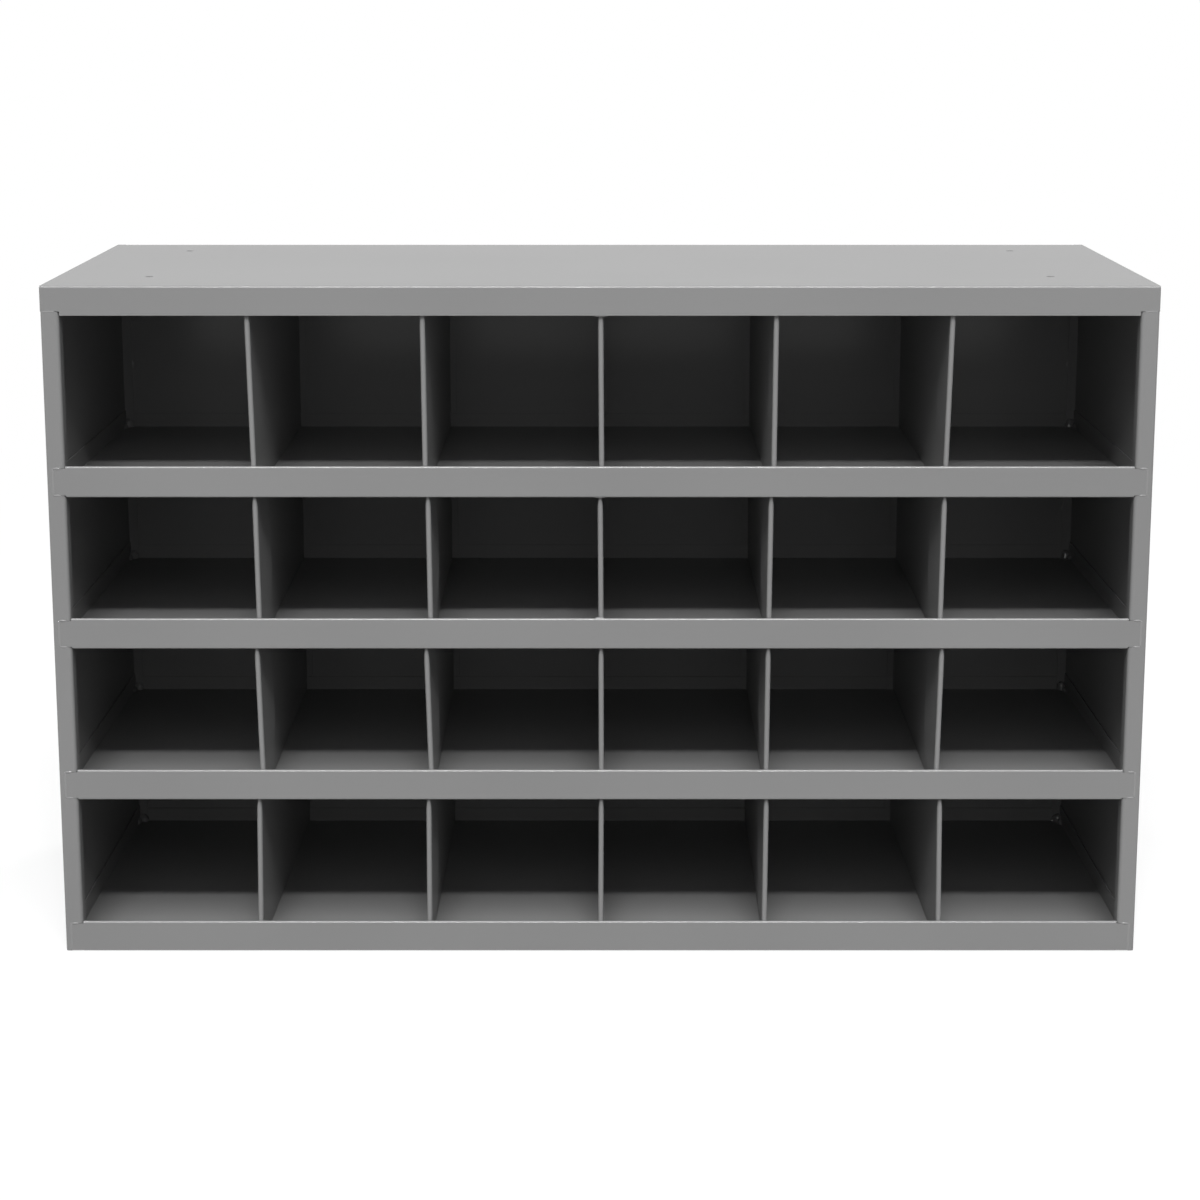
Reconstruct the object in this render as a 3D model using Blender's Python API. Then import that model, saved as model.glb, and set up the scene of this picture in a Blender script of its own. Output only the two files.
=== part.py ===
"""Pigeonhole bin: a welded case of painted sheet steel with four shelf pans and twenty dividers.

Two folded side panels, a folded top panel and a flat back panel make the case. Four pans with
upturned lips span it from side to side, and five hemmed dividers stand on each pan, which gives
four rows of six openings. The case stands on its lowest pan, its front towards -Y and its width
along X, with the origin at the middle of the base.
"""
import math

import bmesh
import bpy
from mathutils import Vector

MM = 0.001

# Case, in millimetres
CASE_WIDTH = 857.25
CASE_DEPTH = 304.8
CASE_SHEET = 1.0
CASE_BEND = 1.5
CORNER_NOTCH = 2.0
SEAM = 0.3

# Top panel
TOP_LIP_HEIGHT = 23.0
TOP_LIP_END_HEIGHT = 19.8
TOP_REAR_LIP_HEIGHT = 15.0
TOP_HOLE_DIAMETER = 6.5
TOP_HOLE_SPREAD = 711.2
FRONT_HOLE_SETBACK = 61.7
REAR_HOLE_SETBACK = 252.0

# Side panels
SIDE_LIP_WIDTH = 14.2
SIDE_RETURN_DEPTH = 11.0
SIDE_REAR_FLANGE = 9.0
SIDE_TOP_FLANGE = 12.0
TAB_NOTCH_INSET = 4.3

# Back panel
BACK_SHEET = 1.0
BACK_MARGIN = 0.8

# Shelf pans
SHELF_SHEET = 0.9
SHELF_BEND = 1.2
SHELF_LIP_HEIGHT = 24.5
SHELF_HEM_RADIUS = 1.3
SHELF_HEM_LEG = 7.0
SHELF_TAB_RISE = 1.6
SHELF_TAB_DROP = 1.9
SHELF_END_FLANGE = 16.3
SHELF_REAR_FLANGE = 12.9

# Clear height of the openings, from the base up
BOTTOM_OPENING = 102.0
LOWER_OPENING = 99.3
MIDDLE_OPENING = 96.9
UPPER_OPENING = 117.7
ROWS = (
    ("bottom", BOTTOM_OPENING),
    ("lower", LOWER_OPENING),
    ("middle", MIDDLE_OPENING),
    ("upper", UPPER_OPENING),
)

# Dividers
DIVIDERS_PER_ROW = 5
DIVIDER_PITCH = 134.8
DIVIDER_SHEET = 0.9
DIVIDER_BEND = 1.1
DIVIDER_REAR_FLANGE = 6.0
DIVIDER_HEM_RADIUS = 2.1
DIVIDER_HEM_DEPTH = 11.0
DIVIDER_HEM_GAP = 0.3

# Facets of the round stretches
BEND_STEPS = 3
HEM_STEPS = 6
HOLE_SIDES = 24
BEND_LEAST_ANGLE = math.radians(50)
SMOOTH_ANGLE = math.radians(35)
WELD_DISTANCE = 0.001 * MM

PAINT_COLOUR = (0.25, 0.25, 0.25, 1.0)
PAINT_ROUGHNESS = 0.42

# Planes that the pieces share
HALF_WIDTH = CASE_WIDTH / 2
FRONT = -CASE_DEPTH / 2
BACK = CASE_DEPTH / 2
REAR_FOLD = BACK - BACK_SHEET - SEAM
HOLE_DROP = 4 * CASE_SHEET


def shelf_base(row):
    """Height of a pan's underside, or of the top lip's lower edge where row is past the last pan."""
    return sum(opening for name, opening in ROWS[:row]) + row * SHELF_LIP_HEIGHT


CASE_HEIGHT = shelf_base(len(ROWS)) + TOP_LIP_HEIGHT


def painted_steel(name):
    """Grey baked paint on steel, one material for each piece."""
    material = bpy.data.materials.new(name + "_paint")
    material.use_nodes = True
    shader = material.node_tree.nodes["Principled BSDF"]
    shader.inputs["Base Color"].default_value = PAINT_COLOUR
    shader.inputs["Roughness"].default_value = PAINT_ROUGHNESS
    shader.inputs["Metallic"].default_value = 0.0
    return material


def folded_sheet(name, panels, sheet, bend_radius, facing):
    """Joins flat panels along their shared edges, rounds the folds and gives the sheet thickness.

    The panels are outlines in millimetres on the sheet's outer face. The largest one faces along
    facing, and the thickness goes inwards from there.
    """
    sheet_mesh = bmesh.new()
    for outline in panels:
        sheet_mesh.faces.new([sheet_mesh.verts.new(Vector(point) * MM) for point in outline])
    bmesh.ops.remove_doubles(sheet_mesh, verts=sheet_mesh.verts, dist=WELD_DISTANCE)
    bmesh.ops.recalc_face_normals(sheet_mesh, faces=sheet_mesh.faces)
    largest = max(sheet_mesh.faces, key=lambda face: face.calc_area())
    if largest.normal.dot(Vector(facing)) < 0:
        bmesh.ops.reverse_faces(sheet_mesh, faces=sheet_mesh.faces)
    folds = [
        edge for edge in sheet_mesh.edges
        if len(edge.link_faces) == 2 and edge.calc_face_angle() > BEND_LEAST_ANGLE
    ]
    if folds:
        bmesh.ops.bevel(
            sheet_mesh, geom=folds, offset=bend_radius * MM, offset_type="OFFSET",
            segments=BEND_STEPS, profile=0.5, affect="EDGES", clamp_overlap=False,
        )
    mesh = bpy.data.meshes.new(name)
    sheet_mesh.to_mesh(mesh)
    sheet_mesh.free()
    mesh.shade_smooth()
    mesh.set_sharp_from_angle(angle=SMOOTH_ANGLE)
    piece = bpy.data.objects.new(name, mesh)
    piece.data.materials.append(painted_steel(name))
    bpy.context.scene.collection.objects.link(piece)
    thickness = piece.modifiers.new("Sheet thickness", "SOLIDIFY")
    thickness.thickness = sheet * MM
    thickness.offset = -1.0
    thickness.use_even_offset = True
    return piece


def strip(points, low, high):
    """Upright panels along a plan path, from one height to another."""
    return [
        [(x0, y0, low), (x1, y1, low), (x1, y1, high), (x0, y0, high)]
        for (x0, y0), (x1, y1) in zip(points, points[1:])
    ]


def both_ends(half_outline):
    """Closes an outline given for +X by repeating it mirrored for -X."""
    mirrored = [(-x, y, z) for x, y, z in reversed(half_outline)]
    return half_outline + mirrored


def side_panel(name, side):
    """Side wall with its front channel, notched for the pans' tabs, and its rear and top flanges."""
    wall = side * HALF_WIDTH
    lip_edge = wall - side * SIDE_LIP_WIDTH
    notch_edge = wall - side * TAB_NOTCH_INSET
    channel_end = FRONT + SIDE_RETURN_DEPTH
    top = CASE_HEIGHT - CASE_SHEET - SEAM
    lip_top = CASE_HEIGHT - TOP_LIP_END_HEIGHT - SEAM
    notched_front = FRONT + CORNER_NOTCH
    notched_rear = REAR_FOLD - CORNER_NOTCH
    notched_top = top - CORNER_NOTCH
    rear_edge = wall - side * SIDE_REAR_FLANGE
    top_edge = wall - side * SIDE_TOP_FLANGE

    # Stretches of the lip between the notches, from the base up
    stretches = []
    for row in range(len(ROWS)):
        tab_top = shelf_base(row) + SHELF_LIP_HEIGHT - SHELF_TAB_DROP
        next_tab = shelf_base(row + 1) + SHELF_TAB_RISE - SEAM
        stretch_top = next_tab if row + 1 < len(ROWS) else lip_top
        stretches.append((tab_top + SEAM, stretch_top))

    wall_outline = [
        (wall, FRONT, 0), (wall, REAR_FOLD, 0), (wall, REAR_FOLD, notched_top),
        (wall, notched_rear, notched_top), (wall, notched_rear, top), (wall, notched_front, top),
        (wall, notched_front, lip_top), (wall, FRONT, lip_top),
    ]
    lip_outline = [(wall, FRONT, lip_top), (wall, FRONT, 0), (notch_edge, FRONT, 0)]
    for low, high in stretches:
        lip_outline += [(notch_edge, FRONT, low), (lip_edge, FRONT, low), (lip_edge, FRONT, high)]
        if high < lip_top:
            lip_outline.append((notch_edge, FRONT, high))
    panels = [wall_outline, lip_outline]
    for low, high in stretches:
        panels += strip([(lip_edge, FRONT), (lip_edge, channel_end)], low, high)
    panels += strip([(wall, REAR_FOLD), (rear_edge, REAR_FOLD)], 0, notched_top)
    panels.append([
        (wall, notched_front, top), (wall, notched_rear, top),
        (top_edge, notched_rear, top), (top_edge, notched_front, top),
    ])
    return folded_sheet(name, panels, CASE_SHEET, CASE_BEND, (side, 0, 0))


def top_panel():
    """Top plate with its front lip, stepped up over the side panels' lips, and a rear lip."""
    step = HALF_WIDTH - SIDE_LIP_WIDTH - SEAM
    rear_lip_end = HALF_WIDTH - SIDE_REAR_FLANGE - SEAM
    relief_end = rear_lip_end + CORNER_NOTCH
    relief_front = REAR_FOLD - CORNER_NOTCH
    low = CASE_HEIGHT - TOP_LIP_HEIGHT
    end_low = CASE_HEIGHT - TOP_LIP_END_HEIGHT
    rear_low = CASE_HEIGHT - TOP_REAR_LIP_HEIGHT
    plate = both_ends([
        (HALF_WIDTH, FRONT, CASE_HEIGHT), (HALF_WIDTH, REAR_FOLD, CASE_HEIGHT),
        (relief_end, REAR_FOLD, CASE_HEIGHT), (relief_end, relief_front, CASE_HEIGHT),
        (rear_lip_end, relief_front, CASE_HEIGHT), (rear_lip_end, REAR_FOLD, CASE_HEIGHT),
    ])
    front_lip = both_ends([
        (HALF_WIDTH, FRONT, CASE_HEIGHT), (HALF_WIDTH, FRONT, end_low),
        (step, FRONT, end_low), (step, FRONT, low),
    ])
    rear_lip = both_ends([(rear_lip_end, REAR_FOLD, CASE_HEIGHT), (rear_lip_end, REAR_FOLD, rear_low)])
    panel = folded_sheet("top_panel", [plate, front_lip, rear_lip], CASE_SHEET, CASE_BEND, (0, 0, 1))
    holes = panel.modifiers.new("Holes", "BOOLEAN")
    holes.operation = "DIFFERENCE"
    holes.solver = "EXACT"
    holes.object = top_holes()
    return panel


def top_holes():
    """Cutter for the four round holes in the top plate."""
    cutter_mesh = bmesh.new()
    for side in (-1, 1):
        for setback in (FRONT_HOLE_SETBACK, REAR_HOLE_SETBACK):
            made = bmesh.ops.create_cone(
                cutter_mesh, cap_ends=True, segments=HOLE_SIDES, radius1=TOP_HOLE_DIAMETER / 2 * MM,
                radius2=TOP_HOLE_DIAMETER / 2 * MM, depth=HOLE_DROP * MM,
            )
            place = Vector((side * TOP_HOLE_SPREAD / 2, FRONT + setback, CASE_HEIGHT)) * MM
            bmesh.ops.translate(cutter_mesh, verts=made["verts"], vec=place)
    mesh = bpy.data.meshes.new("top_hole_cutter")
    cutter_mesh.to_mesh(mesh)
    cutter_mesh.free()
    cutter = bpy.data.objects.new("top_hole_cutter", mesh)
    cutter.hide_render = True
    cutter.display_type = "WIRE"
    bpy.context.scene.collection.objects.link(cutter)
    return cutter


def back_panel():
    """Flat sheet welded on behind the side panels' and the top panel's rear flanges."""
    end = HALF_WIDTH - BACK_MARGIN
    low = BACK_MARGIN
    high = CASE_HEIGHT - BACK_MARGIN
    outline = [(-end, BACK, low), (end, BACK, low), (end, BACK, high), (-end, BACK, high)]
    return folded_sheet("back_panel", [outline], BACK_SHEET, CASE_BEND, (0, 1, 0))


def shelf(row):
    """Pan with a hemmed front lip whose end tabs fill the side notches, and end and rear flanges."""
    base = shelf_base(row)
    mouth = HALF_WIDTH - SIDE_LIP_WIDTH - SEAM
    end = HALF_WIDTH - CASE_SHEET - SEAM
    tab_end = HALF_WIDTH - TAB_NOTCH_INSET - SEAM
    rear_end = HALF_WIDTH - SIDE_REAR_FLANGE - SEAM
    behind_channel = FRONT + SIDE_RETURN_DEPTH + SEAM
    before_flange = REAR_FOLD - CASE_SHEET - SEAM
    tab_low = base + SHELF_TAB_RISE
    tab_top = base + SHELF_LIP_HEIGHT - SHELF_TAB_DROP
    hem_low = base + SHELF_LIP_HEIGHT - SHELF_HEM_RADIUS
    floor = both_ends([
        (mouth, FRONT, base), (mouth, behind_channel, base), (end, behind_channel, base),
        (end, before_flange, base), (rear_end, before_flange, base), (rear_end, REAR_FOLD, base),
    ])
    lip = both_ends([
        (mouth, FRONT, base), (mouth, FRONT, tab_low), (tab_end, FRONT, tab_low),
        (tab_end, FRONT, tab_top), (mouth, FRONT, tab_top), (mouth, FRONT, hem_low),
    ])
    rear_flange = both_ends([(rear_end, REAR_FOLD, base), (rear_end, REAR_FOLD, base + SHELF_REAR_FLANGE)])
    panels = [floor, lip, rear_flange]
    for side in (-1, 1):
        path = [(side * end, behind_channel), (side * end, before_flange)]
        panels += strip(path, base, base + SHELF_END_FLANGE)

    # Hem over the lip's top edge and down behind it
    hem = []
    for step in range(HEM_STEPS + 1):
        turn = math.pi * step / HEM_STEPS
        y = FRONT + SHELF_HEM_RADIUS * (1 - math.cos(turn))
        hem.append((y, hem_low + SHELF_HEM_RADIUS * math.sin(turn)))
    hem.append((hem[-1][0], hem_low - SHELF_HEM_LEG))
    for (y0, z0), (y1, z1) in zip(hem, hem[1:]):
        panels.append(both_ends([(mouth, y0, z0), (mouth, y1, z1)]))
    return folded_sheet(ROWS[row][0] + "_shelf", panels, SHELF_SHEET, SHELF_BEND, (0, 0, -1))


def divider_plan(x, side):
    """Plan path of a divider's outer face, from its rear flange's edge round to its front hem's end."""
    face = x - side * DIVIDER_SHEET / 2
    notch_line = REAR_FOLD - SHELF_SHEET - SEAM - DIVIDER_BEND
    front = FRONT + 2 * SHELF_HEM_RADIUS + SEAM
    hem_root = front + DIVIDER_HEM_DEPTH
    hem_centre = Vector((x, front + DIVIDER_HEM_RADIUS))
    hem_start = Vector((face, hem_root))
    hem_end = Vector((x + side * (1.5 * DIVIDER_SHEET + DIVIDER_HEM_GAP), hem_root))

    def tangent_turn(point):
        """Angle from straight back to where a line from the point touches the hem's round nose."""
        reach = point - hem_centre
        lean = math.atan2(abs(reach.x), reach.y)
        return lean + math.acos(DIVIDER_HEM_RADIUS / reach.length)

    first = tangent_turn(hem_start)
    last = 2 * math.pi - tangent_turn(hem_end)
    steps = 2 * HEM_STEPS
    nose = []
    for step in range(steps + 1):
        turn = first + (last - first) * step / steps
        nose.append((
            x - side * DIVIDER_HEM_RADIUS * math.sin(turn),
            hem_centre.y + DIVIDER_HEM_RADIUS * math.cos(turn),
        ))
    rear = [(x + side * DIVIDER_REAR_FLANGE, REAR_FOLD), (face, REAR_FOLD), (face, notch_line)]
    return rear, [(face, notch_line), tuple(hem_start)] + nose + [tuple(hem_end)]


def divider(row, column):
    """Upright sheet with a round front hem, and a rear flange between those above and below it."""
    x = (column - (DIVIDERS_PER_ROW - 1) / 2) * DIVIDER_PITCH
    side = 1 if x <= 0 else -1
    low = shelf_base(row) + SHELF_SHEET + SEAM
    flange_low = shelf_base(row) + SHELF_REAR_FLANGE + SEAM
    if row + 1 < len(ROWS):
        high = shelf_base(row + 1) - SEAM
        flange_high = high
    else:
        high = CASE_HEIGHT - CASE_SHEET - SEAM
        flange_high = CASE_HEIGHT - TOP_REAR_LIP_HEIGHT - SEAM
    rear, body = divider_plan(x, side)
    panels = strip(rear, flange_low, flange_high)
    levels = sorted({low, flange_low, flange_high, high})
    for level, next_level in zip(levels, levels[1:]):
        panels += strip(body, level, next_level)
    name = f"{ROWS[row][0]}_divider_{column + 1}"
    return folded_sheet(name, panels, DIVIDER_SHEET, DIVIDER_BEND, (-side, 0, 0))


def build():
    """Clears the scene's objects and makes every piece."""
    for leftover in list(bpy.data.objects):
        bpy.data.objects.remove(leftover)
    side_panel("left_side_panel", -1)
    side_panel("right_side_panel", 1)
    top_panel()
    back_panel()
    for row in range(len(ROWS)):
        shelf(row)
        for column in range(DIVIDERS_PER_ROW):
            divider(row, column)


build()
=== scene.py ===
"""Pigeonhole bin in semi-gloss grey baked enamel on folded sheet steel.

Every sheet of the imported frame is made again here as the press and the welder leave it: round
folds, closed hems, dressed weld seams, dividers that lean and bow a little, and a sprayed and
baked paint film over all of it.
"""
import math

import bmesh
import bpy
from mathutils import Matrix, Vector


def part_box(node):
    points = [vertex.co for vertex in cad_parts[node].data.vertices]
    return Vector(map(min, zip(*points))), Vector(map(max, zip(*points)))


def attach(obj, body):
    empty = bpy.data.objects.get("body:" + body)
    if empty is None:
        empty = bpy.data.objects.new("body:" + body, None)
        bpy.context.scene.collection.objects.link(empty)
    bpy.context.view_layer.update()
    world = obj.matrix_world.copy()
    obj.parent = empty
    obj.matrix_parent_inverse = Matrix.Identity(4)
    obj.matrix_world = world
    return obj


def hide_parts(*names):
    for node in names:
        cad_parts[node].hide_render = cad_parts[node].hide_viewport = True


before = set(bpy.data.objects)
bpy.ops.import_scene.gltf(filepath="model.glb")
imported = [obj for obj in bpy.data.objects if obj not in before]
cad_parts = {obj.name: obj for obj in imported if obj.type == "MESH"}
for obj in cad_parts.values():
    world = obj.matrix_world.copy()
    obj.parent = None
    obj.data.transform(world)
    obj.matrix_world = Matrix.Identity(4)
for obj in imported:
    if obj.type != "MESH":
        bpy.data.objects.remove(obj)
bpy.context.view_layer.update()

MM = 0.001

# Sheet steel, in millimetres
CASE_SHEET = 1.0
SHELF_SHEET = 0.9
DIVIDER_SHEET = 0.9
CASE_BEND = 1.7
SIDE_BEND = 1.9
CHANNEL_BEND = 3.0
SHELF_BEND = 1.2
DIVIDER_BEND = 1.1
RAW_EDGE_ROUND = 0.18
RAW_EDGE_STEPS = 2
SEAM = 0.3
CORNER_NOTCH = 2.0
# Corners this close are one, and places this close to a line lie on it
SAME_CORNER = 0.001
ON_LINE = 0.01
# Least turn between two faces, in degrees, of a fold in the flat pattern and of a raw edge
FOLD_TURN = 50
RAW_EDGE_TURN = 60
# Share of an axis in a face's direction, below which the face belongs to a fold
FLAT_SHARE = 0.99
FLAT_SHADING_WEIGHT = 80

# Front frame and flanges
TOP_LIP_END_HEIGHT = 19.8
TOP_REAR_LIP_HEIGHT = 15.0
TOP_HOLE_DIAMETER = 6.5
TOP_HOLE_SPREAD = 711.2
TOP_HOLE_SETBACKS = (61.7, 252.0)
SIDE_RETURN_DEPTH = 11.0
SIDE_REAR_FLANGE = 9.0
SIDE_TOP_FLANGE = 12.0
TAB_NOTCH_INSET = 4.3
SHELF_HEM_RADIUS = 1.45
SHELF_HEM_LEG = 7.0
SHELF_TAB_RISE = 1.6
SHELF_TAB_DROP = 1.9
SHELF_END_FLANGE = 16.3
SHELF_REAR_FLANGE = 12.9
DIVIDER_HEM_RADIUS = 2.1
DIVIDER_HEM_DEPTH = 11.0
DIVIDER_HEM_GAP = 0.3
DIVIDER_FLANGE = 6.0

ROWS = ("bottom", "lower", "middle", "upper")
DIVIDERS_PER_ROW = 5
BEND_STEPS = 6
HEM_STEPS = 10
HOLE_SIDES = 32

# Spot welds: round marks that the electrode tips press into the sheet, as (radius, depth) rings,
# pressed in deeper than real ones so that they show
SPOT_SIDES = 16
SPOT_CELL = 5.0
SPOT_RINGS = ((4.2, 0.0), (3.7, 0.07), (2.5, 0.42), (1.6, 0.52), (0.7, 0.50))
SPOT_EDGE_GAP = 1.0
SIDE_SPOT_SETBACKS = (42.0, 112.0, 182.0, 252.0)

# Weld beads: step along a bead, sides of its arch, how far it is sunk into the sheet, and how far
# along its taper its tip begins
BEAD_STEP = 0.7
BEAD_SIDES = 6
BEAD_ROOT = 0.3
BEAD_TIP = 0.15
# Waves that make beads and lumps uneven: along a bead as (height, rate, share of the seed), and over
# a lump as (axis, height, rate, share of the seed)
BEAD_WAVES = ((0.13, 2.3, 1.0), (0.08, 5.1, 2.0))
LUMP_WAVES = ((0, 0.10, 4.1, 1.0), (2, 0.09, 5.3, -1.0))
LUMP_ROUNDNESS = 3
# Beads around the shelf tabs and along the top's step, ground nearly flush, as (width, crown, taper)
TAB_TOP_BEAD = (1.9, 0.30, 3.0)
TAB_END_BEAD = (1.5, 0.10, 2.0)
TAB_FOOT_BEAD = (1.7, 0.20, 3.0)
TOP_STEP_BEAD = (1.2, 0.06, 2.0)
TAB_BEAD_START = 0.5
TOP_STEP_START = 0.2
TOP_STEP_END = 1.2
# Tack welds of the middle dividers: (left end, right end, outward, (width, crown, taper), seed)
TACK_SETBACK = 1.4
TACK_UNDER_TOP = (-5.6, 6.4, (0, -0.7, -1), (2.6, 1.0, 3.0), 1.0)
TACK_UNDER_UPPER_SHELF = (-5.0, 4.6, (0, -0.5, -1), (2.2, 0.6, 3.0), 2.0)
TACK_ON_MIDDLE_LIP = (-4.2, 3.8, (0, -0.6, 1), (2.4, 0.7, 2.5), 4.0)
# Weld lumps in the rear corners: place inwards of the wall, in front of the flange and above the
# shelf's underside, and radii
CORNER_LUMP = ((3.6, 0.6, 2.4), (5.2, 3.8, 5.6))
WALL_LUMP = ((0.8, 6.6, 1.5), (2.6, 5.4, 4.0))

# How far each divider's front edge leans off its place at its foot and at its head, in millimetres
# towards +X, from left to right in each row
LEANS = {
    "bottom": ((-3.0, -1.4), (-2.0, -1.5), (0.5, 1.0), (-3.0, -2.4), (2.4, 0.8)),
    "lower": ((2.5, -0.3), (1.4, -1.9), (1.1, 0.8), (-3.0, -2.4), (-2.8, -0.5)),
    "middle": ((2.5, 0.9), (2.0, 0.9), (0.9, 0.1), (-2.4, -1.6), (-2.8, -1.5)),
    "upper": ((1.3, -2.2), (-0.7, -1.9), (1.4, 0.4), (0.1, 0.8), (-1.8, 1.9)),
}
# How far each divider's sheet bulges towards the middle of the case behind its hem, in millimetres
BULGES = {
    "bottom": (0.9, 2.6, 0.4, 2.4, 1.0),
    "lower": (3.2, 3.4, 0.3, 3.2, 3.3),
    "middle": (3.4, 3.5, 0.4, 3.3, 3.2),
    "upper": (0.9, 0.9, 0.3, 1.0, 0.9),
}
# Setback of the bulge's ridge, how far behind it the bulge fades out, and how its slopes run
BULGE_SETBACK = 57.0
BULGE_FALL = 75.0
BULGE_FRONT_POWER = 1.5
BULGE_REAR_POWER = 1.3
BULGE_HEIGHT_POWER = 0.8
LEAN_POWER = 1.4
HEIGHT_MARGIN = 0.001
# Setbacks of the cuts that let a divider's sheet bend, closest together along the ridge
GRID_SETBACKS = (16, 22, 28, 34, 40, 46, 51, 55, 57, 59, 63, 69, 77, 87, 99, 113, 132, 160, 190, 225, 255)
GRID_STEPS_UP = 16
# How a hem is pinched narrower near its head and its foot: (reach, share)
HEAD_PINCH = (9.0, 0.38)
FOOT_PINCH = (26.0, 0.30)


def box_mm(node):
    """Lowest and highest corner of a frame node, in millimetres."""
    low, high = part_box(node)
    return Vector(low) / MM, Vector(high) / MM


TOP_LOW, TOP_HIGH = box_mm("top_panel")
SIDE_LOW, SIDE_HIGH = box_mm("right_side_panel")
BACK_LOW, BACK_HIGH = box_mm("back_panel")
FRONT = TOP_LOW.y
REAR_FOLD = TOP_HIGH.y
HALF_WIDTH = TOP_HIGH.x
CASE_HEIGHT = TOP_HIGH.z
SIDE_LIP_WIDTH = SIDE_HIGH.x - SIDE_LOW.x


def srgb(code):
    """Linear colour of an sRGB hex code."""
    channels = [int(code[place:place + 2], 16) / 255 for place in (0, 2, 4)]
    linear = [c / 12.92 if c <= 0.04045 else ((c + 0.055) / 1.055) ** 2.4 for c in channels]
    return (*linear, 1.0)


def add_node(tree, kind, settings=None, **sockets):
    """Adds a node with its settings and its input sockets, given as values or as output sockets."""
    added = tree.nodes.new(kind)
    for name, value in (settings or {}).items():
        setattr(added, name, value)
    for name, value in sockets.items():
        socket = added.inputs[name.replace("_", " ")]
        if isinstance(value, bpy.types.NodeSocket):
            tree.links.new(value, socket)
        else:
            socket.default_value = value
    return added


def new_material(name):
    """Material with an empty node tree, and that tree."""
    material = bpy.data.materials.new(name)
    material.use_nodes = True
    material.node_tree.nodes.clear()
    return material, material.node_tree


ENAMEL_GREY = "868686"
ENAMEL_GREY_DEEP = "838383"
PIGMENT_ROUGHNESS = 0.6
PIGMENT_IOR = 1.5
PIGMENT_SPECULAR = 0.1
FILM_IOR = 1.6
FILM_CLOUD_MM = 160.0
FILM_CLOUD_RANGE = (0.3, 0.7)
GLOSS_DRIFT = 0.01
ORANGE_PEEL_MM = 2.6
ORANGE_PEEL_STRENGTH = 0.35


def baked_enamel(name, gloss_weight, gloss_roughness, peel):
    """Baked enamel: electrostatically sprayed grey paint, cured to a semi-gloss film.

    The matte pigment gives a plain even grey. The film over it, as the coat, draws thin bright lines
    along folds and hems, and more so where it runs thick, over folds and welds. Its thickness drifts
    over a hand's width, which shifts its grey and its gloss a little, and its skin has a fine orange
    peel, drawn as coarse as it needs to show.
    """
    material, tree = new_material(name)
    place = add_node(tree, "ShaderNodeTexCoord").outputs["Object"]
    thin, thick = FILM_CLOUD_RANGE
    cloud = add_node(
        tree, "ShaderNodeTexNoise", Vector=place, Scale=1 / (FILM_CLOUD_MM * MM), Detail=0.0,
    )
    peel_noise = add_node(
        tree, "ShaderNodeTexNoise", Vector=place, Scale=1 / (ORANGE_PEEL_MM * MM), Detail=1.0,
    )
    grey = add_node(tree, "ShaderNodeValToRGB", Fac=cloud.outputs["Fac"])
    grey.color_ramp.elements[0].position = thin
    grey.color_ramp.elements[0].color = srgb(ENAMEL_GREY_DEEP)
    grey.color_ramp.elements[1].position = thick
    grey.color_ramp.elements[1].color = srgb(ENAMEL_GREY)
    gloss = add_node(
        tree, "ShaderNodeMapRange", Value=cloud.outputs["Fac"], From_Min=thin, From_Max=thick,
        To_Min=gloss_roughness - GLOSS_DRIFT, To_Max=gloss_roughness + GLOSS_DRIFT,
    )
    bump = add_node(
        tree, "ShaderNodeBump", Strength=ORANGE_PEEL_STRENGTH, Distance=peel * MM,
        Height=peel_noise.outputs["Fac"],
    )
    shader = add_node(
        tree, "ShaderNodeBsdfPrincipled", Base_Color=grey.outputs["Color"], Normal=bump.outputs["Normal"],
        Coat_Roughness=gloss.outputs["Result"], Coat_Normal=bump.outputs["Normal"],
    )
    shader.inputs["Metallic"].default_value = 0.0
    shader.inputs["Roughness"].default_value = PIGMENT_ROUGHNESS
    shader.inputs["IOR"].default_value = PIGMENT_IOR
    shader.inputs["Specular IOR Level"].default_value = PIGMENT_SPECULAR
    shader.inputs["Coat Weight"].default_value = gloss_weight
    shader.inputs["Coat IOR"].default_value = FILM_IOR
    output = add_node(tree, "ShaderNodeOutputMaterial")
    tree.links.new(shader.outputs["BSDF"], output.inputs["Surface"])
    return material


# Name, weight and roughness of the gloss film, and height of its orange peel in millimetres
SHEET_ENAMEL = baked_enamel("baked_enamel_on_sheet", 0.32, 0.20, 0.015)
FOLD_ENAMEL = baked_enamel("baked_enamel_over_fold", 0.70, 0.20, 0.015)
WELD_ENAMEL = baked_enamel("baked_enamel_over_weld", 1.0, 0.14, 0.04)


def finish_piece(piece, materials, *nodes):
    """Paints a piece, fixes it to the welded case and lets it stand for its frame nodes."""
    for material in materials:
        piece.data.materials.append(material)
    bpy.context.scene.collection.objects.link(piece)
    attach(piece, "root")
    if nodes:
        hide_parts(*nodes)


def sheet_object(name, sheet_mesh, sheet):
    """Turns an outer skin into a sheet with thickness, rounded raw edges and smooth folds."""
    mesh = bpy.data.meshes.new(name)
    sheet_mesh.to_mesh(mesh)
    sheet_mesh.free()
    mesh.shade_smooth()
    piece = bpy.data.objects.new(name, mesh)
    thickness = piece.modifiers.new("Sheet thickness", "SOLIDIFY")
    thickness.thickness = sheet * MM
    thickness.offset = -1.0
    thickness.use_even_offset = True
    edge = piece.modifiers.new("Deburred edge", "BEVEL")
    edge.width = RAW_EDGE_ROUND * MM
    edge.segments = RAW_EDGE_STEPS
    edge.limit_method = "ANGLE"
    edge.angle_limit = math.radians(RAW_EDGE_TURN)
    edge.use_clamp_overlap = True
    flat = piece.modifiers.new("Flat faces shade flat", "WEIGHTED_NORMAL")
    flat.mode = "FACE_AREA"
    flat.weight = FLAT_SHADING_WEIGHT
    return piece


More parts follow.
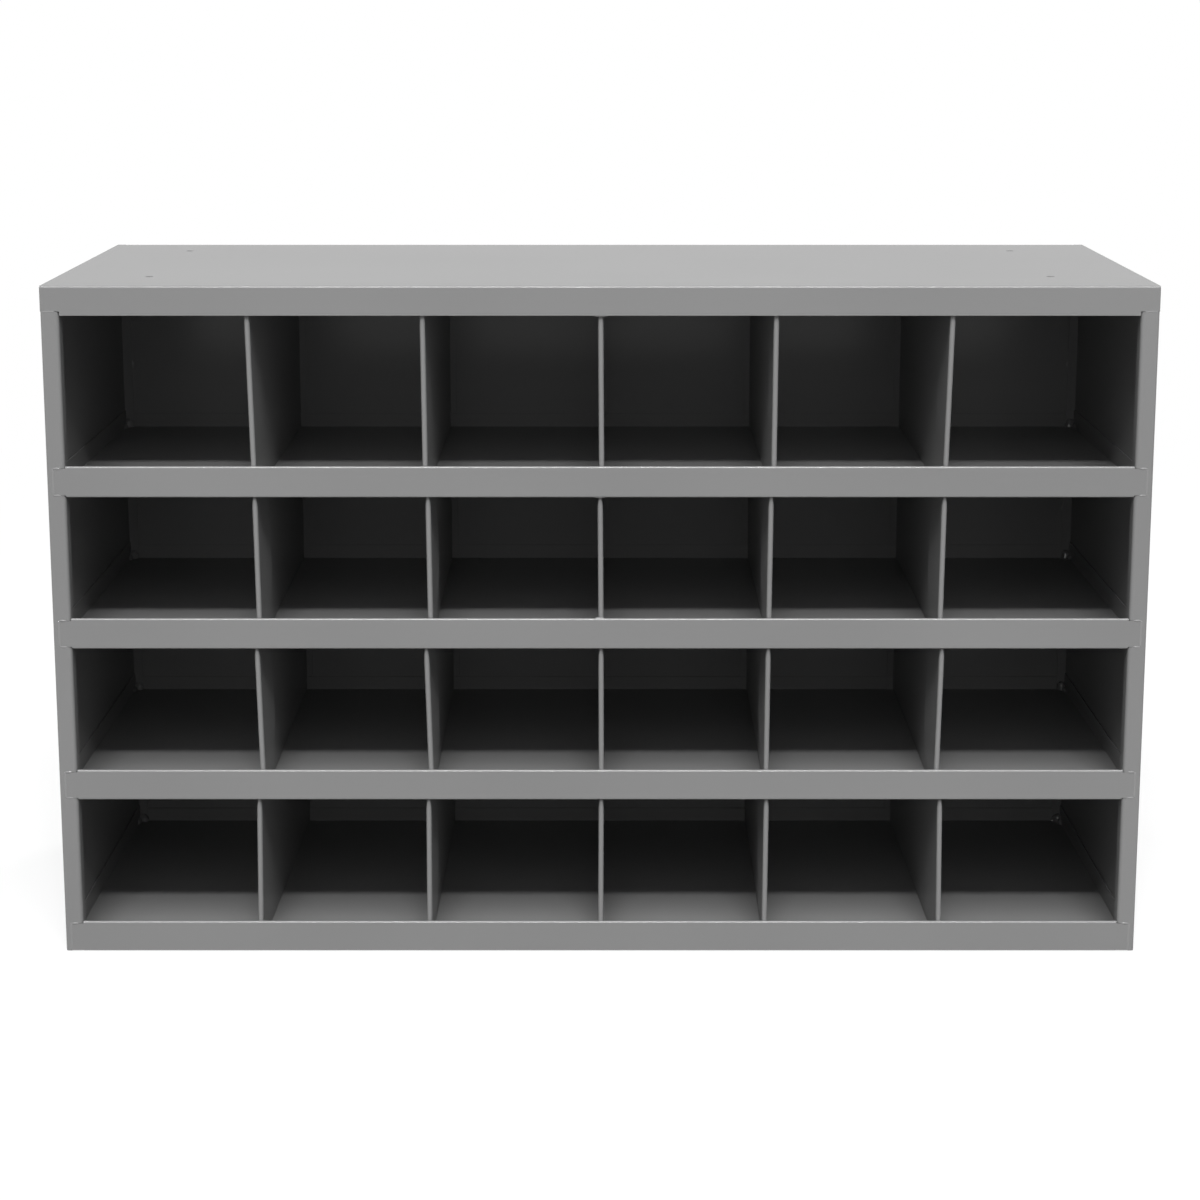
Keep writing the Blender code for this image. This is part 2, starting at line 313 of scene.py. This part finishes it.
def folded_skin(panels, bend_radius, facing, soft_radius=None, is_soft=None):
    """Joins flat panels, in millimetres, along their shared edges and rounds the folds.

    Folds whose middle point passes the is_soft test get the soft radius.
    """
    skin = bmesh.new()
    for outline in panels:
        skin.faces.new([skin.verts.new(Vector(point) * MM) for point in outline])
    bmesh.ops.remove_doubles(skin, verts=skin.verts, dist=SAME_CORNER * MM)
    bmesh.ops.recalc_face_normals(skin, faces=skin.faces)
    largest = max(skin.faces, key=lambda face: face.calc_area())
    if largest.normal.dot(Vector(facing)) < 0:
        bmesh.ops.reverse_faces(skin, faces=skin.faces)
    rounds = [(bend_radius, False)]
    if is_soft is not None:
        rounds.append((soft_radius, True))
    for radius, wants_soft in rounds:
        folds = []
        for edge in skin.edges:
            if len(edge.link_faces) == 2 and edge.calc_face_angle() > math.radians(FOLD_TURN):
                middle = (edge.verts[0].co + edge.verts[1].co) / (2 * MM)
                softened = is_soft is not None and is_soft(middle)
                if softened == wants_soft:
                    folds.append(edge)
        if folds:
            bmesh.ops.bevel(
                skin, geom=folds, offset=radius * MM, offset_type="OFFSET",
                segments=BEND_STEPS, profile=0.5, affect="EDGES", clamp_overlap=False,
            )
    return skin


def gloss_on_folds(skin):
    """Gives the faces of folds and hems the second paint, where the film runs thick and glossy."""
    skin.normal_update()
    for face in skin.faces:
        if max(abs(share) for share in face.normal) < FLAT_SHARE:
            face.material_index = 1


def cut_lines(skin, axis, places):
    """Cuts every face of a skin across one axis at the given places in millimetres."""
    normal = Vector((axis == 0, axis == 1, axis == 2))
    for place in sorted({round(value, 3) for value in places}):
        geometry = skin.verts[:] + skin.edges[:] + skin.faces[:]
        bmesh.ops.bisect_plane(
            skin, geom=geometry, plane_co=normal * place * MM, plane_no=normal, dist=SAME_CORNER * MM,
        )


def round_marks(skin, facing, centres, cell, sides, rings, is_open=False):
    """Presses round marks, or cuts round holes, into the flat face that looks along an axis.

    Each mark gets a square cell of its own, then rings of (radius, depth) inside it.
    """
    outward = Vector(facing)
    across = [axis for axis in range(3) if not outward[axis]]
    for axis in across:
        cut_lines(skin, axis, [centre[axis] + step * cell for centre in centres for step in (-1, 1)])
    cells = [
        face for face in skin.faces
        if face.normal.dot(outward) > FLAT_SHARE and len(face.verts) == 4
    ]
    for centre in centres:
        middle = Vector(centre) * MM
        face = min(cells, key=lambda candidate: (candidate.calc_center_median() - middle).length)
        corners = [loop.vert for loop in face.loops]
        start = (corners[0].co - middle).normalized()
        turn_side = outward.cross(start)
        loops = []
        for radius, depth in rings:
            loops.append([])
            for step in range(sides):
                turn = 2 * math.pi * step / sides
                reach = start * math.cos(turn) + turn_side * math.sin(turn)
                loops[-1].append(skin.verts.new(middle + (reach * radius - outward * depth) * MM))
        cells.remove(face)
        skin.faces.remove(face)
        quarter = sides // 4
        for side in range(4):
            arc = [loops[0][(side * quarter + step) % sides] for step in range(quarter, -1, -1)]
            skin.faces.new([corners[side], corners[(side + 1) % 4]] + arc)
        for outer, inner in zip(loops, loops[1:]):
            for step in range(sides):
                ahead = (step + 1) % sides
                skin.faces.new([outer[step], outer[ahead], inner[ahead], inner[step]])
        if not is_open:
            skin.faces.new(loops[-1])


def spot_welds(skin, facing, centres):
    """Presses spot weld marks into the flat face that looks along an axis."""
    round_marks(skin, facing, centres, SPOT_CELL, SPOT_SIDES, SPOT_RINGS)


def strip(points, low, high):
    """Upright panels along a plan path, from one height to another."""
    return [
        [(x0, y0, low), (x1, y1, low), (x1, y1, high), (x0, y0, high)]
        for (x0, y0), (x1, y1) in zip(points, points[1:])
    ]


def both_ends(half_outline):
    """Closes an outline given for +X by repeating it mirrored for -X."""
    return half_outline + [(-x, y, z) for x, y, z in reversed(half_outline)]


def shelf_levels(row):
    """Underside and lip top of a shelf, from its frame node."""
    low, high = box_mm(ROWS[row] + "_shelf")
    return low.z, high.z


def side_panel(name, side):
    """Side wall with its front channel, notched for the shelf tabs, and its rear and top flanges."""
    wall = side * HALF_WIDTH
    lip_edge = wall - side * SIDE_LIP_WIDTH
    notch_edge = wall - side * TAB_NOTCH_INSET
    channel_end = FRONT + SIDE_RETURN_DEPTH
    top = SIDE_HIGH.z
    lip_top = CASE_HEIGHT - TOP_LIP_END_HEIGHT - SEAM
    notched_front = FRONT + CORNER_NOTCH
    notched_rear = REAR_FOLD - CORNER_NOTCH
    notched_top = top - CORNER_NOTCH
    stretches = []
    for row in range(len(ROWS)):
        low = shelf_levels(row)[1] - SHELF_TAB_DROP + SEAM
        is_last = row + 1 == len(ROWS)
        high = lip_top if is_last else shelf_levels(row + 1)[0] + SHELF_TAB_RISE - SEAM
        stretches.append((low, high))
    wall_outline = [
        (wall, FRONT, 0), (wall, REAR_FOLD, 0), (wall, REAR_FOLD, notched_top),
        (wall, notched_rear, notched_top), (wall, notched_rear, top), (wall, notched_front, top),
        (wall, notched_front, lip_top), (wall, FRONT, lip_top),
    ]
    lip_outline = [(wall, FRONT, lip_top), (wall, FRONT, 0), (notch_edge, FRONT, 0)]
    for low, high in stretches:
        lip_outline += [(notch_edge, FRONT, low), (lip_edge, FRONT, low), (lip_edge, FRONT, high)]
        if high < lip_top:
            lip_outline.append((notch_edge, FRONT, high))
    panels = [wall_outline, lip_outline]
    for low, high in stretches:
        panels += strip([(lip_edge, FRONT), (lip_edge, channel_end)], low, high)
    rear_edge = wall - side * SIDE_REAR_FLANGE
    top_edge = wall - side * SIDE_TOP_FLANGE
    panels += strip([(wall, REAR_FOLD), (rear_edge, REAR_FOLD)], 0, notched_top)
    panels.append([
        (wall, notched_front, top), (wall, notched_rear, top),
        (top_edge, notched_rear, top), (top_edge, notched_front, top),
    ])
    skin = folded_skin(
        panels, SIDE_BEND, (side, 0, 0), CHANNEL_BEND,
        lambda middle: abs(middle.x - lip_edge) < SEAM and middle.y < FRONT + SEAM,
    )
    spot_welds(skin, (side, 0, 0), [
        (wall, FRONT + setback, shelf_levels(row)[0] + SHELF_END_FLANGE / 2)
        for row in range(len(ROWS)) for setback in SIDE_SPOT_SETBACKS
    ])
    finish_piece(sheet_object(name + "_sheet", skin, CASE_SHEET), (SHEET_ENAMEL,), name)


def top_panel():
    """Top plate with its front lip, stepped up over the side lips, its rear lip and four holes."""
    step = HALF_WIDTH - SIDE_LIP_WIDTH - SEAM
    rear_lip_end = HALF_WIDTH - SIDE_REAR_FLANGE - SEAM
    relief_end = rear_lip_end + CORNER_NOTCH
    relief_front = REAR_FOLD - CORNER_NOTCH
    end_low = CASE_HEIGHT - TOP_LIP_END_HEIGHT
    rear_low = CASE_HEIGHT - TOP_REAR_LIP_HEIGHT
    plate = both_ends([
        (HALF_WIDTH, FRONT, CASE_HEIGHT), (HALF_WIDTH, REAR_FOLD, CASE_HEIGHT),
        (relief_end, REAR_FOLD, CASE_HEIGHT), (relief_end, relief_front, CASE_HEIGHT),
        (rear_lip_end, relief_front, CASE_HEIGHT), (rear_lip_end, REAR_FOLD, CASE_HEIGHT),
    ])
    front_lip = both_ends([
        (HALF_WIDTH, FRONT, CASE_HEIGHT), (HALF_WIDTH, FRONT, end_low),
        (step, FRONT, end_low), (step, FRONT, TOP_LOW.z),
    ])
    rear_lip = both_ends([(rear_lip_end, REAR_FOLD, CASE_HEIGHT), (rear_lip_end, REAR_FOLD, rear_low)])
    skin = folded_skin([plate, front_lip, rear_lip], CASE_BEND, (0, 0, 1))
    holes = [
        (side * TOP_HOLE_SPREAD / 2, FRONT + setback, CASE_HEIGHT)
        for side in (-1, 1) for setback in TOP_HOLE_SETBACKS
    ]
    round_marks(
        skin, (0, 0, 1), holes, TOP_HOLE_DIAMETER, HOLE_SIDES, ((TOP_HOLE_DIAMETER / 2, 0.0),),
        is_open=True,
    )
    gloss_on_folds(skin)
    piece = sheet_object("top_panel_sheet", skin, CASE_SHEET)
    finish_piece(piece, (SHEET_ENAMEL, FOLD_ENAMEL), "top_panel")


def back_panel():
    """Flat sheet spot welded on behind every rear flange."""
    behind = BACK_HIGH.y
    outline = [
        (BACK_LOW.x, behind, BACK_LOW.z), (BACK_HIGH.x, behind, BACK_LOW.z),
        (BACK_HIGH.x, behind, BACK_HIGH.z), (BACK_LOW.x, behind, BACK_HIGH.z),
    ]
    skin = folded_skin([outline], CASE_BEND, (0, 1, 0))
    seam_heights = [shelf_levels(row)[0] + SHELF_REAR_FLANGE / 2 for row in range(len(ROWS))]
    seam_heights.append(CASE_HEIGHT - TOP_REAR_LIP_HEIGHT / 2)
    edge = BACK_HIGH.x - SPOT_CELL - SPOT_EDGE_GAP
    uprights = [-edge, edge]
    for column in range(DIVIDERS_PER_ROW):
        low, high = box_mm(f"bottom_divider_{column + 1}")
        is_left = column <= DIVIDERS_PER_ROW // 2
        uprights.append(high.x - DIVIDER_FLANGE / 2 if is_left else low.x + DIVIDER_FLANGE / 2)
    uprights.sort()
    middles = [(first + second) / 2 for first, second in zip(uprights, uprights[1:])]
    centres = [(x, behind, z) for z in seam_heights for x in uprights + middles]
    for low, high in zip(seam_heights, seam_heights[1:]):
        for share in (1 / 3, 2 / 3):
            centres += [(x, behind, low + (high - low) * share) for x in uprights]
    spot_welds(skin, (0, 1, 0), centres)
    finish_piece(sheet_object("back_panel_sheet", skin, CASE_SHEET), (SHEET_ENAMEL,), "back_panel")


def shelf(row):
    """Pan with a hemmed front lip whose end tabs fill the side notches, and end and rear flanges."""
    base, lip_top = shelf_levels(row)
    mouth = HALF_WIDTH - SIDE_LIP_WIDTH - SEAM
    end = HALF_WIDTH - CASE_SHEET - SEAM
    tab_end = HALF_WIDTH - TAB_NOTCH_INSET - SEAM
    rear_end = HALF_WIDTH - SIDE_REAR_FLANGE - SEAM
    behind_channel = FRONT + SIDE_RETURN_DEPTH + SEAM
    before_flange = REAR_FOLD - CASE_SHEET - SEAM
    tab_low = base + SHELF_TAB_RISE if row else base + SEAM
    tab_top = lip_top - SHELF_TAB_DROP
    hem_low = lip_top - SHELF_HEM_RADIUS
    floor = both_ends([
        (mouth, FRONT, base), (mouth, behind_channel, base), (end, behind_channel, base),
        (end, before_flange, base), (rear_end, before_flange, base), (rear_end, REAR_FOLD, base),
    ])
    lip = both_ends([
        (mouth, FRONT, base), (mouth, FRONT, tab_low), (tab_end, FRONT, tab_low),
        (tab_end, FRONT, tab_top), (mouth, FRONT, tab_top), (mouth, FRONT, hem_low),
    ])
    flange_top = base + SHELF_REAR_FLANGE
    rear_flange = both_ends([(rear_end, REAR_FOLD, base), (rear_end, REAR_FOLD, flange_top)])
    panels = [floor, lip, rear_flange]
    for side in (-1, 1):
        path = [(side * end, behind_channel), (side * end, before_flange)]
        panels += strip(path, base, base + SHELF_END_FLANGE)
    hem = []
    for step in range(HEM_STEPS + 1):
        turn = math.pi * step / HEM_STEPS
        y = FRONT + SHELF_HEM_RADIUS * (1 - math.cos(turn))
        hem.append((y, hem_low + SHELF_HEM_RADIUS * math.sin(turn)))
    hem.append((hem[-1][0], hem_low - SHELF_HEM_LEG))
    for (y0, z0), (y1, z1) in zip(hem, hem[1:]):
        panels.append(both_ends([(mouth, y0, z0), (mouth, y1, z1)]))
    skin = folded_skin(panels, SHELF_BEND, (0, 0, -1))
    node = ROWS[row] + "_shelf"
    gloss_on_folds(skin)
    finish_piece(sheet_object(node + "_pan", skin, SHELF_SHEET), (SHEET_ENAMEL, FOLD_ENAMEL), node)


def divider_plan(x, front, side):
    """Plan path of a divider's outer face, from behind its rear flange round to its hem's edge."""
    face = x - side * DIVIDER_SHEET / 2
    hem_root = front + DIVIDER_HEM_DEPTH
    centre = Vector((x, front + DIVIDER_HEM_RADIUS))
    start = Vector((face, hem_root))
    end = Vector((x + side * (1.5 * DIVIDER_SHEET + DIVIDER_HEM_GAP), hem_root))

    def touch(point):
        """Angle from straight back to where a line from the point touches the hem's round nose."""
        reach = point - centre
        return math.atan2(abs(reach.x), reach.y) + math.acos(DIVIDER_HEM_RADIUS / reach.length)

    first = touch(start)
    last = 2 * math.pi - touch(end)
    nose = []
    for step in range(2 * HEM_STEPS + 1):
        turn = first + (last - first) * step / (2 * HEM_STEPS)
        nose.append((
            x - side * DIVIDER_HEM_RADIUS * math.sin(turn),
            centre.y + DIVIDER_HEM_RADIUS * math.cos(turn),
        ))
    return face, [tuple(start)] + nose + [tuple(end)]


def divider(row, column):
    """Divider with a pinched teardrop hem at its front, leaning and bowed as it was welded in."""
    node = f"{ROWS[row]}_divider_{column + 1}"
    low, high = box_mm(node)
    side = 1 if column <= DIVIDERS_PER_ROW // 2 else -1
    nose_face = low.x if side > 0 else high.x
    x = nose_face + side * DIVIDER_HEM_RADIUS
    flange_edge = high.x if side > 0 else low.x
    face, hem = divider_plan(x, low.y, side)
    notch_line = high.y - SHELF_SHEET - SEAM - DIVIDER_BEND
    base = shelf_levels(row)[0]
    flange_low = base + SHELF_REAR_FLANGE + SEAM
    is_top_row = row + 1 == len(ROWS)
    flange_high = CASE_HEIGHT - TOP_REAR_LIP_HEIGHT - SEAM if is_top_row else high.z
    rear = [(flange_edge, high.y), (face, high.y), (face, notch_line)]
    panels = strip(rear, flange_low, flange_high)
    levels = sorted({low.z, flange_low, flange_high, high.z})
    for level, next_level in zip(levels, levels[1:]):
        panels += strip([(face, notch_line)] + hem, level, next_level)
    skin = folded_skin(panels, DIVIDER_BEND, (-side, 0, 0))

    # A grid of cuts lets the flat sheet bend
    cut_lines(skin, 1, [low.y + setback for setback in GRID_SETBACKS])
    rise = (high.z - low.z) / GRID_STEPS_UP
    cut_lines(skin, 2, [low.z + rise * step for step in range(1, GRID_STEPS_UP)])

    foot_lean, head_lean = LEANS[ROWS[row]][column]
    bulge = side * BULGES[ROWS[row]][column]
    for vertex in skin.verts:
        spot = vertex.co / MM
        setback = spot.y - low.y
        share = setback / (notch_line - low.y)
        height = (spot.z - low.z) / (high.z - low.z)
        if setback < DIVIDER_HEM_DEPTH + ON_LINE:
            pinch = 1.0
            for (reach, depth), distance in (
                (HEAD_PINCH, high.z - spot.z), (FOOT_PINCH, spot.z - low.z),
            ):
                if distance < reach:
                    pinch -= depth * (1 - distance / reach) ** 2
            spot.x = x + (spot.x - x) * pinch
        if share < 1:
            lean = foot_lean + (head_lean - foot_lean) * height
            # Kept off the ends, where rounding would turn the sine negative
            inner_height = min(max(height, HEIGHT_MARGIN), 1 - HEIGHT_MARGIN)
            hold = math.sin(math.pi * inner_height) ** BULGE_HEIGHT_POWER
            past = min(max(setback - BULGE_SETBACK, 0.0) / BULGE_FALL, 1.0)
            before = min(setback / BULGE_SETBACK, 1.0)
            swell = before ** BULGE_FRONT_POWER * (1 - past) ** BULGE_REAR_POWER
            spot.x += lean * (1 - share) ** LEAN_POWER + bulge * swell * hold
        vertex.co = spot * MM
    finish_piece(sheet_object(node + "_sheet", skin, DIVIDER_SHEET), (SHEET_ENAMEL,), node)


def bead(skin, path, outward, section, seed):
    """Adds a weld bead along a path in millimetres, lumpy as laid and thinning out at its ends.

    Its section is (width, crown, taper at its ends).
    """
    width, crown, taper = section
    outward = Vector(outward).normalized()
    points = [Vector(point) for point in path]
    length = sum((second - first).length for first, second in zip(points, points[1:]))
    count = max(4, int(length / BEAD_STEP))
    stations = []
    for first, second in zip(points, points[1:]):
        steps = max(1, round(count * (second - first).length / length))
        stations += [first.lerp(second, step / steps) for step in range(steps)]
    stations.append(points[-1])
    gone = 0.0
    loops = []
    for place, station in enumerate(stations):
        behind = stations[max(place - 1, 0)]
        ahead = stations[min(place + 1, len(stations) - 1)]
        gone += (station - behind).length
        across = (ahead - behind).normalized().cross(outward)
        ease = min(1.0, (min(gone, length - gone) + BEAD_TIP) / taper)
        ripple = 1.0
        for height, rate, share in BEAD_WAVES:
            ripple += height * math.sin(rate * gone + share * seed)
        size = math.sqrt(ease) * ripple
        ring = []
        for step in range(BEAD_SIDES + 1):
            turn = math.pi * step / BEAD_SIDES
            ring.append(
                station + across * (math.cos(turn) * width / 2 * size)
                + outward * (math.sin(turn) * crown * size)
            )
        ring += [ring[-1] - outward * BEAD_ROOT, ring[0] - outward * BEAD_ROOT]
        loops.append([skin.verts.new(point * MM) for point in ring])
    for ring, next_ring in zip(loops, loops[1:]):
        for step in range(len(ring)):
            after = (step + 1) % len(ring)
            skin.faces.new([ring[step], ring[after], next_ring[after], next_ring[step]])
    skin.faces.new(loops[0][::-1])
    skin.faces.new(loops[-1])


def weld_object(name, skin):
    """Paints a set of weld beads as one piece."""
    bmesh.ops.recalc_face_normals(skin, faces=skin.faces)
    mesh = bpy.data.meshes.new(name)
    skin.to_mesh(mesh)
    skin.free()
    mesh.shade_smooth()
    finish_piece(bpy.data.objects.new(name, mesh), (WELD_ENAMEL,))


def lip_tab_welds():
    """Seams around the shelf tabs, welded and ground nearly flush with the front frame."""
    skin = bmesh.new()
    front = (0, -1, 0)
    tab_end = HALF_WIDTH - TAB_NOTCH_INSET - SEAM / 2
    mouth = HALF_WIDTH - SIDE_LIP_WIDTH + CHANNEL_BEND + TAB_BEAD_START
    for side in (-1, 1):
        for row in range(len(ROWS)):
            base, lip_top = shelf_levels(row)
            high = lip_top - SHELF_TAB_DROP + SEAM / 2
            low = base + SHELF_TAB_RISE - SEAM / 2 if row else base
            seed = 3.0 * row + side
            inner_high = (side * mouth, FRONT, high)
            outer_high = (side * tab_end, FRONT, high)
            outer_low = (side * tab_end, FRONT, low)
            bead(skin, [inner_high, outer_high], front, TAB_TOP_BEAD, seed)
            bead(skin, [outer_high, outer_low], front, TAB_END_BEAD, seed)
            if row:
                bead(skin, [(side * mouth, FRONT, low), outer_low], front, TAB_FOOT_BEAD, seed)
        step = CASE_HEIGHT - TOP_LIP_END_HEIGHT - SEAM / 2
        step_start = side * (mouth - TAB_BEAD_START + TOP_STEP_START)
        step_end = side * (HALF_WIDTH - TOP_STEP_END)
        bead(skin, [(step_start, FRONT, step), (step_end, FRONT, step)], front, TOP_STEP_BEAD, side)
    weld_object("lip_tab_welds", skin)


def lump(skin, centre, radii, seed, floor_level):
    """Adds a weld lump with an uneven skin, cut off inside the wall, the rear flange and the floor."""
    wall = HALF_WIDTH - CASE_SHEET / 2
    behind = REAR_FOLD - CASE_SHEET / 2
    made = bmesh.ops.create_icosphere(skin, subdivisions=LUMP_ROUNDNESS, radius=1.0)
    for vertex in made["verts"]:
        direction = vertex.co.normalized()
        swell = 1.0
        for axis, height, rate, share in LUMP_WAVES:
            swell += height * math.sin(rate * direction[axis] + share * seed)
        spot = Vector([direction[axis] * radii[axis] * swell + centre[axis] for axis in range(3)])
        spot.x = min(max(spot.x, -wall), wall)
        spot.y = min(spot.y, behind)
        spot.z = max(spot.z, floor_level)
        vertex.co = spot * MM


def rear_corner_welds():
    """Lumps of weld where each shelf's rear corner meets the side panel and the back."""
    skin = bmesh.new()
    for side in (-1, 1):
        for row in range(len(ROWS)):
            base = shelf_levels(row)[0]
            for seed, ((inwards, forwards, above), radii) in (
                (row + side, CORNER_LUMP), (row - side, WALL_LUMP),
            ):
                x = side * (HALF_WIDTH - CASE_SHEET - inwards)
                y = REAR_FOLD - CASE_SHEET - forwards
                lump(skin, (x, y, base + above), radii, seed, base + SHELF_SHEET / 2)
    weld_object("rear_corner_welds", skin)


def divider_tack_welds():
    """Tack welds that hold the middle dividers' hems to the frame above and below them."""
    skin = bmesh.new()
    y = FRONT + TACK_SETBACK
    for z, (left, right, outward, section, seed) in (
        (TOP_LOW.z, TACK_UNDER_TOP),
        (shelf_levels(3)[0], TACK_UNDER_UPPER_SHELF),
        (shelf_levels(2)[1], TACK_ON_MIDDLE_LIP),
    ):
        bead(skin, [(left, y, z), (right, y, z)], outward, section, seed)
    weld_object("divider_tack_welds", skin)


side_panel("left_side_panel", -1)
side_panel("right_side_panel", 1)
top_panel()
back_panel()
for row_index in range(len(ROWS)):
    shelf(row_index)
    for column_index in range(DIVIDERS_PER_ROW):
        divider(row_index, column_index)
lip_tab_welds()
rear_corner_welds()
divider_tack_welds()


# Camera: sensor width, focal length as a share of it, place in millimetres, pitch in degrees
SENSOR_WIDTH = 36.0
FOCAL_SHARE = 1.985
LENS_SHIFT = -0.15
CAMERA_PLACE = (0, -1961, 757)
CAMERA_PITCH = 10.16


def camera():
    """Camera in front of the case and above its top, as in the photograph."""
    view = bpy.data.cameras.new("view")
    view.sensor_width = SENSOR_WIDTH
    view.lens = SENSOR_WIDTH * FOCAL_SHARE
    view.shift_y = LENS_SHIFT
    lens = bpy.data.objects.new("view", view)
    lens.location = Vector(CAMERA_PLACE) * MM
    lens.rotation_euler = (math.radians(90 - CAMERA_PITCH), 0, 0)
    bpy.context.scene.collection.objects.link(lens)
    bpy.context.scene.camera = lens


def stage_plane(name, reach, level, material):
    """Level square of the studio that reaches equally far to each side, in metres."""
    mesh = bpy.data.meshes.new(name)
    corners = [
        (-reach, -reach, level), (reach, -reach, level), (reach, reach, level), (-reach, reach, level),
    ]
    mesh.from_pydata(corners, [], [(0, 1, 2, 3)])
    plane = bpy.data.objects.new(name, mesh)
    mesh.materials.append(material)
    bpy.context.scene.collection.objects.link(plane)


LAMP_DISTANCE = 12.0
LAMPS = (
    # name, azimuth from the front, elevation, width, height (degrees and metres), watts
    ("middle_key", 0, 45.3, 4.5, 0.6, 745),
    ("upper_key", 0, 54, 9.0, 2.6, 715),
    ("overhead_key", 0, 68, 9.0, 3.0, 440),
    ("front_fill", 0, 32, 13.5, 3.0, 140),
    ("low_fill", 0, 12, 13.5, 3.6, 118),
    ("left_fill", -104, 9, 7.5, 4.5, 540),
    ("right_fill", 104, 9, 7.5, 4.5, 180),
    ("rear_fill", 140, 7, 3.0, 2.4, 1280),
)
# Low lamps that would glare in the top plate's grazing reflection
UNREFLECTED = ("left_fill", "right_fill", "rear_fill")
WORLD_LIGHT = 0.12


def softbox(name, azimuth, elevation, width, height, power):
    """Softbox that faces the case from a direction given in degrees."""
    light = bpy.data.lights.new(name, "AREA")
    light.shape = "RECTANGLE"
    light.size, light.size_y = width, height
    light.energy = power
    box = bpy.data.objects.new(name, light)
    turn, rise = math.radians(azimuth), math.radians(elevation)
    aim = Vector((0, 0, CASE_HEIGHT / 2 * MM))
    reach = Vector((math.sin(turn) * math.cos(rise), -math.cos(turn) * math.cos(rise), math.sin(rise)))
    box.location = aim + reach * LAMP_DISTANCE
    box.rotation_euler = (-reach).to_track_quat("-Z", "Y").to_euler()
    box.visible_camera = False
    box.visible_glossy = name not in UNREFLECTED
    bpy.context.scene.collection.objects.link(box)


def background_rays(tree):
    """1 for the rays that show the background: camera, glossy and transmission rays."""
    path = add_node(tree, "ShaderNodeLightPath")
    shown = path.outputs["Is Camera Ray"]
    for ray in ("Is Glossy Ray", "Is Transmission Ray"):
        either = add_node(tree, "ShaderNodeMath", {"operation": "MAXIMUM"})
        tree.links.new(shown, either.inputs[0])
        tree.links.new(path.outputs[ray], either.inputs[1])
        shown = either.outputs[0]
    return shown


PAPER_WHITE = "f0f0f0"
PAPER_UNLIT = "6a6a6a"
SHADOW_DEPTH = 0.42
SHADOW_REACH = (0.9, 2.2)
STAGE_REACH = 12
STAGE_LEVEL = -0.0005


def mix_shaders(tree, amount, first, second):
    """Mixes two shaders by an amount given as a value or as an output socket."""
    mix = add_node(tree, "ShaderNodeMixShader", Fac=amount)
    tree.links.new(first.outputs[0], mix.inputs[1])
    tree.links.new(second.outputs[0], mix.inputs[2])
    return mix


def studio():
    """White paper floor that keeps the shadow near the case, white background, and softboxes."""
    material, tree = new_material("white_paper_floor")
    place = add_node(tree, "ShaderNodeTexCoord").outputs["Object"]
    away = add_node(tree, "ShaderNodeVectorMath", {"operation": "LENGTH"}, Vector=place)
    shadow_share = add_node(
        tree, "ShaderNodeMapRange", {"interpolation_type": "SMOOTHSTEP"},
        Value=away.outputs["Value"], From_Min=SHADOW_REACH[0], From_Max=SHADOW_REACH[1],
        To_Min=SHADOW_DEPTH, To_Max=0.0,
    )
    white = add_node(tree, "ShaderNodeEmission", Strength=1.0)
    lit = add_node(tree, "ShaderNodeBsdfDiffuse", Color=srgb(PAPER_WHITE))
    shown = mix_shaders(tree, shadow_share.outputs["Result"], white, lit)
    unlit = add_node(tree, "ShaderNodeBsdfDiffuse", Color=srgb(PAPER_UNLIT))
    paper = mix_shaders(tree, background_rays(tree), unlit, shown)
    output = add_node(tree, "ShaderNodeOutputMaterial")
    tree.links.new(paper.outputs[0], output.inputs["Surface"])
    stage_plane("studio_floor", STAGE_REACH, STAGE_LEVEL, material)

    world = bpy.data.worlds.new("white_studio")
    bpy.context.scene.world = world
    world.use_nodes = True
    tree = world.node_tree
    tree.nodes.clear()
    strength = add_node(
        tree, "ShaderNodeMapRange", Value=background_rays(tree), To_Min=WORLD_LIGHT, To_Max=1.0,
    )
    background = add_node(tree, "ShaderNodeBackground", Strength=strength.outputs["Result"])
    background.inputs["Color"].default_value = (1, 1, 1, 1)
    output = add_node(tree, "ShaderNodeOutputWorld")
    tree.links.new(background.outputs[0], output.inputs["Surface"])
    for settings in LAMPS:
        softbox(*settings)


studio()
camera()
bpy.context.scene.view_settings.view_transform = "Standard"
